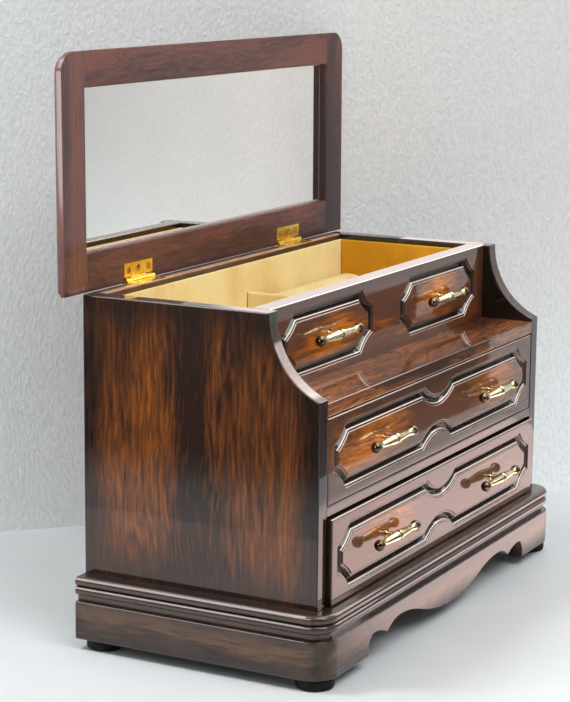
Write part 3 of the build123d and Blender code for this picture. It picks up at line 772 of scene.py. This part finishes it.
def routed_front(
    name: str, node: str, pulls: str, colours: tuple[Colour, ...], seed: float, **toning: float | tuple
) -> bpy.types.Material:
    """Make the finish of a front with painted shade and a painted highlight line in its routed groove, and a
    bright patch behind each pull.

    Args:
        name: Name of the finish.
        node: Name of the front.
        pulls: Name of the solids of its pulls.
        colours: Stain of the front.
        seed: Number of the board.
        toning: Strength and width of its dark rim, and the reach of its patches.

    Returns:
        The lacquered finish.
    """
    low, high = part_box(node)
    finish = LacqueredWood(
        name, Grain.ALONG_X, colours, seed, specular=0.1, patches=pull_middles(pulls),
        figure_length=9.0, tone_box=(low, high), groove_y=low.y, **toning,
    )
    return finish.build()


@dataclass
class Case:
    """Side panels, back, step, divider and the fixed upper front."""

    frame: dict
    raw_strip: float = 3.4 * MM
    side_bands: tuple[tuple[float, float], ...] = ((32 * MM, -8 * MM), (-34 * MM, -14 * MM))

    def dress(self) -> None:
        """Finish every board of the case."""
        self._dress_side("left", 2.4)
        self._dress_side("right", 8.9)
        divider = LacqueredWood(
            "case_lacquer", Grain.ALONG_X, stain((40, 24, 18), (84, 50, 32), (118, 74, 44)), 5.5, fleck=0.7
        )
        dress(self.frame, "drawer_divider", divider.build())
        step = LacqueredWood(
            "step_lacquer", Grain.ALONG_X, stain((60, 32, 18), (146, 84, 42), (192, 120, 56)), 6.6,
            lines=0.8, warp=0.05, fleck=0.55, figure_scale=26.0, specular=0.1,
        )
        dress(self.frame, "step_board", step.build())
        upper = routed_front(
            "upper_front_lacquer", "upper_front_board", "false_front_pulls",
            stain((100, 60, 38), (162, 88, 24), (222, 128, 16)), 11.2, patch_reach=(26 * MM, 20 * MM),
            tone=0.75, tone_width=8 * MM,
        )
        dress(self.frame, "upper_front_board", upper)
        low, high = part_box("back_panel")
        back = LacqueredWood(
            "back_lacquer", Grain.ALONG_X, stain((38, 22, 15), (78, 45, 25), (104, 62, 32)), 14.0,
            raw_edge=(low.y + self.raw_strip, high.z), gloss=0.5,
        )
        dress(self.frame, "back_panel", back.build())

    def _dress_side(self, side: str, seed: float) -> None:
        """Finish a side panel, with two broad bright bands of straight fine streaks.

        Args:
            side: Left or right.
            seed: Number of the board.
        """
        node = f"{side}_side_panel"
        low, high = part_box(node)
        centre = 0.5 * (low + high)
        finish = LacqueredWood(
            f"{side}_side_lacquer", Grain.ALONG_Z, stain((36, 18, 8), (108, 56, 12), (156, 84, 16)),
            seed, tone_box=(low, high), tone_axes=(1, 2), tone_width=20 * MM, tone=0.8, specular=0.1,
            # The inner face gets painted shade.
            painted_shade_inside=min(abs(low.x), abs(high.x)), figure_scale=60.0, figure_length=3.0,
            contrast=0.7, warp=0.016, fleck=0.95,
            patches=tuple((centre.y + behind, centre.z + above) for behind, above in self.side_bands),
            patch_axes=(1, 2), patch_reach=(22 * MM, 76 * MM), patch_depth=0.22,
        )
        dress(self.frame, node, finish.build())


@dataclass
class Base:
    """Plinth, beaded moulding, bottom, blocks and pads."""

    frame: dict

    def dress(self) -> None:
        """Finish every piece of the base, each with its grain along its length."""
        for member, grain, seed in (
            ("front", Grain.ALONG_X, 21.0),
            ("back", Grain.ALONG_X, 22.0),
            ("left", Grain.ALONG_Y, 23.0),
            ("right", Grain.ALONG_Y, 24.0),
        ):
            plinth = LacqueredWood(
                f"plinth_{member}_lacquer", grain, stain((42, 26, 18), (74, 49, 32), (112, 78, 48)),
                seed, specular=0.1, tone_box=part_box(f"plinth_{member}"), tone_axes=(grain.value[0], 2),
                tone_width=9 * MM, tone=0.7, figure_scale=80.0,
            )
            dress(self.frame, f"plinth_{member}", plinth.build())
            moulding = LacqueredWood(
                f"moulding_{member}_lacquer", grain, stain((30, 18, 12), (58, 36, 24), (92, 56, 30)),
                seed + 0.4, arris=0.15 * MM,
            )
            dress(self.frame, f"base_moulding_{member}", moulding.build())
        bare = BareWood("base_ply", Grain.ALONG_X).build()
        dress(self.frame, "bottom_panel", bare)
        dress(self.frame, "glue_blocks", bare)
        dress(self.frame, "foot_pads", FootPad("pad_black").build())


@dataclass
class Drawer:
    """One drawer: routed front, box, lining and pulls."""

    frame: dict
    name: str
    seed: float

    def dress(self, steel: bpy.types.Material, velvet: bpy.types.Material) -> None:
        """Finish the drawer and rebuild its lining.

        Args:
            steel: Finish of the screws.
            velvet: Finish of the lining.
        """
        drawer = f"{self.name}_drawer"
        front = routed_front(
            f"{self.name}_front_lacquer", f"{drawer}_front", f"{drawer}_pulls",
            stain((94, 52, 24), (156, 84, 18), (212, 118, 12)), self.seed, tone=0.8, tone_width=11 * MM,
        )
        dress(self.frame, f"{drawer}_front", front)
        side_wood = BareWood(f"{drawer}_side_wood", Grain.ALONG_Y).build()
        cross_wood = BareWood(f"{drawer}_cross_wood", Grain.ALONG_X).build()
        for part, finish in (
            ("left_side", side_wood),
            ("right_side", side_wood),
            ("back", cross_wood),
            ("bottom", cross_wood),
            ("pulls", pull_brass(f"{drawer}_pulls")),
            ("pull_screws", steel),
        ):
            dress(self.frame, f"{drawer}_{part}", finish)
        node = f"{drawer}_lining"
        shape = pillow_board(*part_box(node), 0.7 * MM, 0.1 * MM, 0.03 * MM)
        settle(make_object(f"{drawer}_felt", *shape, velvet), node, drawer)


@dataclass
class Compartment:
    """Velvet-covered linings, partition and ring cushion of the top compartment."""

    frame: dict
    linings: tuple[str, ...] = ("floor_lining", "front_lining", "back_lining", "left_lining", "right_lining")
    rolls: int = 5
    roll_end: float = 6.0 * MM
    crease: float = 6.2 * MM
    inset: float = 0.4 * MM
    steps_along: int = 44
    steps_across: int = 14
    fullness: float = 2.6
    end_drop: float = 0.9
    cap: float = 1.0 * MM
    held_from: float = 0.93
    pressure: float = 4.0
    puff_frames: int = 15
    lining_rim: float = 0.8 * MM
    partition_rim: float = 1.2 * MM
    swell: float = 0.05 * MM
    ripple: float = 0.04 * MM

    def build(self, velvet: bpy.types.Material) -> None:
        """Rebuild every cloth-covered piece.

        Args:
            velvet: Finish of the pieces.
        """
        # A deeper gold copy of the velvet paints shade on the right lining.
        in_painted_shade = Velvet("gold_velvet_against_nap", srgb(216, 156, 30), srgb(188, 128, 14)).build()
        for node in self.linings:
            finish = in_painted_shade if node == "right_lining" else velvet
            shape = pillow_board(*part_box(node), self.lining_rim, self.swell, self.ripple)
            settle(make_object(node.replace("lining", "velvet"), *shape, finish), node, "carcass")
        shape = pillow_board(*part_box("partition"), self.partition_rim, self.swell, self.ripple)
        settle(make_object("partition_velvet", *shape, velvet), "partition", "carcass")
        cushion = self._cushion(velvet)
        settle(cushion, "ring_cushion", "carcass")

    def _cushion(self, velvet: bpy.types.Material) -> bpy.types.Object:
        """Build the ring cushion: rolls side by side whose creases pull deep between them.

        The upper face is a grid over X and Y. Its height is the crest less a crease, which is
        1 minus the square root of 1 minus a power of the place across a roll, and it falls along
        a quarter circle at both ends. The lower face is flat.

        Args:
            velvet: Finish of the cushion.

        Returns:
            The cushion.
        """
        low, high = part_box("ring_cushion")
        inset = self.inset
        xs = low.x + inset + eased_steps(high.x - low.x - 2 * inset, self.roll_end, self.steps_along)
        phase = np.linspace(0.0, self.rolls, self.rolls * self.steps_across + 1)
        ys = low.y + inset + (high.y - low.y - 2 * inset) * phase / self.rolls
        x, y = np.meshgrid(xs, ys, indexing="ij")
        across = 2.0 * (phase % 1.0) - 1.0
        fall = 1.0 - np.sqrt(np.clip(1.0 - np.abs(across) ** self.fullness, 0.0, 1.0))
        to_end = np.clip(np.minimum(x - xs[0], xs[-1] - x) / self.roll_end, 0.0, 1.0)
        end = 1.0 - np.sqrt(np.clip(1.0 - (1.0 - to_end) ** 2, 0.0, 1.0))
        top = high.z - inset - self.crease * np.maximum(fall[None, :], self.end_drop * end)
        bottom = np.full_like(top, low.z + 0.5 * inset)
        upper = np.stack([x.ravel(), y.ravel(), top.ravel()], axis=1)
        lower = np.stack([x.ravel(), y.ravel(), bottom.ravel()], axis=1)
        count = x.size
        rows, columns = x.shape
        faces = [grid_faces(rows, columns), grid_faces(rows, columns, start=count)[:, ::-1]]
        rim = np.concatenate([
            np.arange(columns),
            np.arange(1, rows) * columns + columns - 1,
            (rows - 1) * columns + np.arange(columns - 2, -1, -1),
            np.arange(rows - 2, 0, -1) * columns,
        ])
        ahead = np.roll(rim, -1)
        faces.append(np.stack([rim, rim + count, ahead + count, ahead], axis=1))
        piece = make_object("ring_cushion_velvet", np.vstack([upper, lower]), np.vstack(faces), velvet)
        self._inflate(piece, low, high)
        return piece

    def _inflate(self, piece: bpy.types.Object, low: Vector, high: Vector) -> None:
        """Let a short cloth simulation puff the rolls, held at the creases and underneath.

        A point may move by no more than the cap and stays inside the solid's own box.

        Args:
            piece: The cushion.
            low: Lowest corner of its solid.
            high: Highest corner of its solid.
        """
        mesh = piece.data
        start = np.empty(len(mesh.vertices) * 3)
        mesh.vertices.foreach_get("co", start)
        start = start.reshape(-1, 3)
        across = np.abs(2.0 * (((start[:, 1] - low.y) / (high.y - low.y) * self.rolls) % 1.0) - 1.0)
        held = np.flatnonzero((across > self.held_from) | (start[:, 2] < high.z - self.crease - 1.5 * MM))
        group = piece.vertex_groups.new(name="held")
        group.add(held.tolist(), 1.0, "REPLACE")
        cloth = piece.modifiers.new("puff", "CLOTH")
        cloth.settings.quality = 6
        cloth.settings.mass = 0.15
        cloth.settings.vertex_group_mass = "held"
        cloth.settings.use_pressure = True
        cloth.settings.uniform_pressure_force = self.pressure
        cloth.settings.effector_weights.gravity = 0.0
        scene = bpy.context.scene
        for number in range(1, self.puff_frames + 1):
            scene.frame_set(number)
        shaped = piece.evaluated_get(bpy.context.evaluated_depsgraph_get()).to_mesh()
        moved = np.empty(start.size)
        shaped.vertices.foreach_get("co", moved)
        step = moved.reshape(-1, 3) - start
        length = np.linalg.norm(step, axis=1, keepdims=True)
        step *= np.minimum(1.0, self.cap / np.maximum(length, 1e-9))
        shape = np.clip(start + step, np.array(low), np.array(high))
        piece.modifiers.remove(cloth)
        scene.frame_set(1)
        mesh.vertices.foreach_set("co", shape.ravel())
        mesh.update()
        log.info("puffed %s by up to %.2f mm", piece.name, float(length.max()) / MM)


@dataclass
class Lid:
    """Frame-and-panel lid with its mirror."""

    frame: dict

    def dress(self) -> None:
        """Finish the frame members along their own grain, the panel and the mirror."""
        for node, grain, seed in (
            ("lid_left_stile", Grain.ALONG_Z, 31.0),
            ("lid_right_stile", Grain.ALONG_Z, 32.0),
            ("lid_front_rail", Grain.ALONG_X, 33.0),
            ("lid_back_rail", Grain.ALONG_X, 34.0),
            ("lid_panel", Grain.ALONG_X, 35.0),
        ):
            polished = node == "lid_left_stile"
            finish = LacqueredWood(
                f"{node}_lacquer", grain, stain((42, 22, 20), (78, 42, 36), (112, 62, 48)), seed,
                gloss=0.8 if polished else 0.3, coat_roughness=0.1 if polished else 0.22, fleck=0.7,
                lines=0.25,
            )
            dress(self.frame, node, finish.build())
        opening = (
            Vector((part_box("lid_left_stile")[1].x, 0.0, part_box("lid_back_rail")[1].z)),
            Vector((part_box("lid_right_stile")[0].x, 0.0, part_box("lid_front_rail")[0].z)),
        )
        dress(self.frame, "mirror", MirrorGlass("silvered_glass", opening).build())


@dataclass
class Metalwork:
    """Hinges, their screws and the fixed pulls."""

    frame: dict
    hinge_brass: bpy.types.Material = field(init=False)
    screw_brass: bpy.types.Material = field(init=False)
    steel: bpy.types.Material = field(init=False)

    def __post_init__(self) -> None:
        """Make the three metal finishes."""
        self.hinge_brass = Brass("hinge_brass", srgb(255, 218, 96), srgb(244, 196, 70), 0.2).build()
        self.screw_brass = Brass("screw_brass", srgb(206, 160, 66), srgb(120, 80, 26), 0.3).build()
        self.steel = Steel("screw_steel").build()

    def dress(self) -> None:
        """Finish the hinges and the pulls of the false fronts."""
        for node in ("hinge_lower_leaves", "hinge_upper_leaves", "hinge_pins"):
            dress(self.frame, node, self.hinge_brass)
        for node in ("hinge_lower_screws", "hinge_upper_screws"):
            dress(self.frame, node, self.screw_brass)
        dress(self.frame, "false_front_pulls", pull_brass("false_front_pulls"))
        dress(self.frame, "false_front_pull_screws", self.steel)


def make_quad(
    name: str, corner: Vector, side: Vector, rise: Vector, material: bpy.types.Material
) -> bpy.types.Object:
    """Make a flat sheet of the studio, facing the way of side cross rise.

    Args:
        name: Name of the sheet.
        corner: Its first corner.
        side: Way along its first edge.
        rise: Way along its second edge.
        material: Its finish.

    Returns:
        The sheet.
    """
    points = np.array([corner, corner + side, corner + side + rise, corner + rise])
    sheet = make_object(name, points, np.array([[0, 1, 2, 3]]), material)
    if sheet.data.polygons[0].normal.dot(side.cross(rise)) < 0.0:
        sheet.data.flip_normals()
    return sheet


# Tint of the glow that the table throws up.
PINK = srgb(255, 230, 226)


@dataclass(frozen=True)
class Card:
    """A sheet that only polished faces reflect, black or glowing, seen from its front alone."""

    name: str
    corner: Place
    side: Place
    rise: Place
    glow: float = 0.0
    tint: Colour = srgb(255, 240, 236)
    rims: tuple[float, float] = (0.25, 0.25)

    def build(self) -> None:
        """Hang the card, with soft rims laid out on its own two coordinates."""
        corner, side, rise = (Vector(value) for value in (self.corner, self.side, self.rise))
        card = make_quad(self.name, corner, side, rise, self._material())
        corners = np.empty(4, dtype=np.int32)
        card.data.loops.foreach_get("vertex_index", corners)
        square = np.array([(0, 0), (1, 0), (1, 1), (0, 1)], dtype=np.float32)
        card.data.uv_layers.new(name="card").data.foreach_set("uv", square[corners].ravel())
        card.visible_camera = False
        card.visible_diffuse = False
        card.visible_shadow = False
        card.visible_transmission = False

    def _material(self) -> bpy.types.Material:
        """Make the card clear towards its rims, from behind and in the mirror."""
        graph = Graph(self.name)
        places = graph.split(graph.node("ShaderNodeUVMap", {}, uv_map="card").outputs[0])[:2]
        body: Value = 1.0
        for place, rim in zip(places, self.rims):
            rising, falling = graph.fade(place, 0.0, rim), graph.fade(place, 1.0 - rim, 1.0)
            body = graph.times(body, graph.minus(rising, falling))
        faces, path = graph.node("ShaderNodeNewGeometry", {}), graph.node("ShaderNodeLightPath", {})
        body = graph.times(body, graph.minus(1.0, faces.outputs["Backfacing"]))
        body = graph.times(body, graph.minus(1.0, path.outputs["Is Singular Ray"]))
        graph.show_through(body)
        cloud = graph.noise(graph.place, (9.0, 9.0, 9.0), 2.0)
        light = graph.math("MULTIPLY_ADD", cloud, 0.4 * self.glow, 0.8 * self.glow)
        graph.set(Emission_Color=self.tint, Emission_Strength=light, Specular_IOR_Level=0.0)
        return graph.finish(graph.ramp(cloud, (0.3, srgb(6, 5, 4)), (0.7, srgb(12, 9, 8))), 1.0)


@dataclass(frozen=True)
class Lamp:
    """A square soft lamp turned to a target, its size in metres and its power in watts."""

    name: str
    place: Place
    target: Place
    size: float
    power: float

    def build(self) -> None:
        """Hang the lamp."""
        data = bpy.data.lights.new(self.name, "AREA")
        data.size = self.size
        data.energy = self.power
        lamp = bpy.data.objects.new(self.name, data)
        way = Vector(self.target) - Vector(self.place)
        turn = way.to_track_quat("-Z", "Y").to_matrix().to_4x4()
        lamp.matrix_world = Matrix.Translation(self.place) @ turn
        bpy.context.scene.collection.objects.link(lamp)


@dataclass
class Camera:
    """Camera given by its angles about the aim point, its focal length and centre in pixels.

    The aim point is measured from the lower front left corner of the case.
    """

    azimuth: float = -62.05
    elevation: float = 11.05
    roll: float = 0.55
    distance: float = 908.6 * MM
    aim: Place = (-28.7 * MM, 0.0, 121.1 * MM)
    image: tuple[int, int] = (570, 702)
    focal: float = 2130.0
    centre: tuple[float, float] = (289.6, 358.3)
    sensor: float = 36.0

    def build(self) -> None:
        """Place the camera."""
        azimuth, elevation, roll = np.radians((self.azimuth, self.elevation, self.roll)).tolist()
        level = Vector((math.cos(azimuth), math.sin(azimuth), 0.0))
        out = Vector((math.sin(azimuth), -math.cos(azimuth), 0.0))
        back = out * math.cos(elevation) + Vector((0.0, 0.0, math.sin(elevation)))
        upright = back.cross(level)
        right = level * math.cos(roll) + upright * math.sin(roll)
        up = upright * math.cos(roll) - level * math.sin(roll)
        width, height = self.image
        data = bpy.data.cameras.new("camera")
        data.sensor_width = self.sensor
        data.lens = self.focal * self.sensor / height
        data.shift_x = (width / 2 - self.centre[0]) / height
        data.shift_y = (self.centre[1] - height / 2) / height
        data.clip_start = 0.01
        camera = bpy.data.objects.new("camera", data)
        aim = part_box("left_side_panel")[0] + Vector(self.aim)
        turn = Matrix((right, up, back)).transposed().to_4x4()
        camera.matrix_world = Matrix.Translation(aim + back * self.distance) @ turn
        bpy.context.scene.collection.objects.link(camera)
        bpy.context.scene.camera = camera


@dataclass
class Studio:
    """Table, wall, cards and lights around the case."""

    table_reach: float = 6.0
    wall_point: Place = (0.012, 0.2105, 0.0)
    wall_run: Place = (0.720, -0.694, 0.0)
    wall_reach: float = 3.0
    wall_height: float = 3.0
    room_colour: tuple[float, ...] = (0.90, 0.95, 1.0, 1.0)
    room_strength: float = 0.5
    lamps: tuple[Lamp, ...] = (
        Lamp("key", (-0.25, -0.75, 1.25), (0.0, 0.0, 0.1), 0.9, 13.0),
        Lamp("rear", (-0.28, 0.50, 1.10), (0.0, 0.0, 0.0), 0.35, 11.0),
    )
    cards: tuple[Card, ...] = (
        Card("left_black_card", (-0.36, -0.10, 0.001), (0, 1.30, 0), (0, 0, 0.16), rims=(0.01, 0.25)),
        Card("left_bright_card", (-0.36, -0.10, 0.17), (0, 1.30, 0), (0, 0, 0.16), 9.0, rims=(0.01, 0.1)),
        Card("front_black_card", (1.40, -0.232, 0.001), (-1.34, 0, 0), (0, 0, 0.088), rims=(0.01, 0.03)),
        Card("room_black_card", (-0.22, -0.55, 0.001), (-0.36, 0.60, 0), (0, 0, 0.60), rims=(0.15, 0.15)),
        Card("low_awning", (-0.10, 0.020, 0.165), (0.62, 0, 0), (0, -0.066, 0.110), 1.8, rims=(0.05, 0.05)),
        Card("high_awning", (-0.10, -0.028, 0.240), (0.70, 0, 0), (0, -0.105, 0.175), 6.0, rims=(0.1, 0.12)),
        Card("far_bright_card", (0.28, -0.068, 0.29), (0.50, -0.482, 0), (0, 0, 0.31), 5.0, rims=(0.1, 0.06)),
        Card("table_glow", (-0.10, -0.212, 0.0006), (0.58, 0, 0), (0, 0.137, 0), 2.6, PINK, (0.15, 0.14)),
        Card("side_glow", (-0.345, -0.10, 0.0006), (0.17, 0, 0), (0, 0.45, 0), 1.5, rims=(0.05, 0.05)),
        Card("rear_card", (-0.70, 0.10, 0.58), (0, 0.80, 0), (0.54, 0, 0), 8.0, rims=(0.3, 0.06)),
    )

    def build(self) -> None:
        """Set up everything around the object."""
        bpy.context.scene.view_settings.view_transform = "Standard"
        Camera().build()
        reach = self.table_reach
        east, north = Vector((2 * reach, 0.0, 0.0)), Vector((0.0, 2 * reach, 0.0))
        make_quad("table", Vector((-reach, -reach, 0.0)), east, north, self._table_white())
        half, tall = self.wall_reach * Vector(self.wall_run), Vector((0.0, 0.0, self.wall_height))
        make_quad("wall", Vector(self.wall_point) - half, 2 * half, tall, self._wall_plaster())
        for piece in (*self.cards, *self.lamps):
            piece.build()
        self._room()

    def _table_white(self) -> bpy.types.Material:
        """Make the pale, faintly cloudy table top."""
        graph = Graph("table_white")
        cloud = graph.noise(graph.place, (14.0, 14.0, 14.0), 3.0)
        return graph.finish(graph.ramp(cloud, (0.4, srgb(210, 214, 215)), (0.6, srgb(214, 218, 219))), 0.5)

    def _wall_plaster(self) -> bpy.types.Material:
        """Make the stippled plaster with painted light: paler and cooler on the left, paler at its foot and
        darker in the stipple's hollows; clear from behind.
        """
        graph = Graph("wall_plaster")
        bend = graph.times(graph.noise(graph.place, (80.0, 80.0, 50.0), 2.0), 0.02)
        east, north, up = graph.axes
        bent = graph.join(graph.math("ADD", east, bend), graph.math("ADD", north, bend), up)
        stipple = graph.noise(bent, (430.0, 430.0, 250.0), 2.0)
        graph.set(Normal=graph.bump(stipple, 0.4, 2.0 * MM))
        # Painted light: paler and cooler towards the left, paler at the foot.
        tint = graph.blend(graph.fade(east, -0.20, 0.25), srgb(230, 238, 238), srgb(217, 214, 212))
        tint = graph.blend(graph.fade(up, 0.0, 0.22), srgb(246, 250, 250), tint)
        # Painted shade: the stipple's hollows are a little darker.
        hollow_shade = graph.ramp(stipple, (0.36, srgb(246, 246, 246)), (0.60, srgb(255, 255, 255)))
        graph.show_through(graph.minus(1.0, graph.node("ShaderNodeNewGeometry", {}).outputs["Backfacing"]))
        return graph.finish(graph.blend(1.0, tint, hollow_shade, "MULTIPLY"), 0.9)

    def _room(self) -> None:
        """Fill the room with even, slightly cool light."""
        world = bpy.data.worlds.new("room")
        world.use_nodes = True
        background = world.node_tree.nodes["Background"]
        background.inputs["Color"].default_value = self.room_colour
        background.inputs["Strength"].default_value = self.room_strength
        bpy.context.scene.world = world


def main() -> None:
    """Load the frame, dress every sub-assembly and set up the studio."""
    logging.basicConfig(level=logging.INFO, format="%(message)s")
    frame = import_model()
    metal = Metalwork(frame)
    velvet = Velvet("gold_velvet", srgb(240, 220, 164), srgb(226, 196, 126)).build()
    Case(frame).dress()
    Base(frame).dress()
    Lid(frame).dress()
    metal.dress()
    Drawer(frame, "upper", 41.0).dress(metal.steel, velvet)
    Drawer(frame, "lower", 47.0).dress(metal.steel, velvet)
    Compartment(frame).build(velvet)
    Studio().build()


if __name__ == "__main__":
    main()
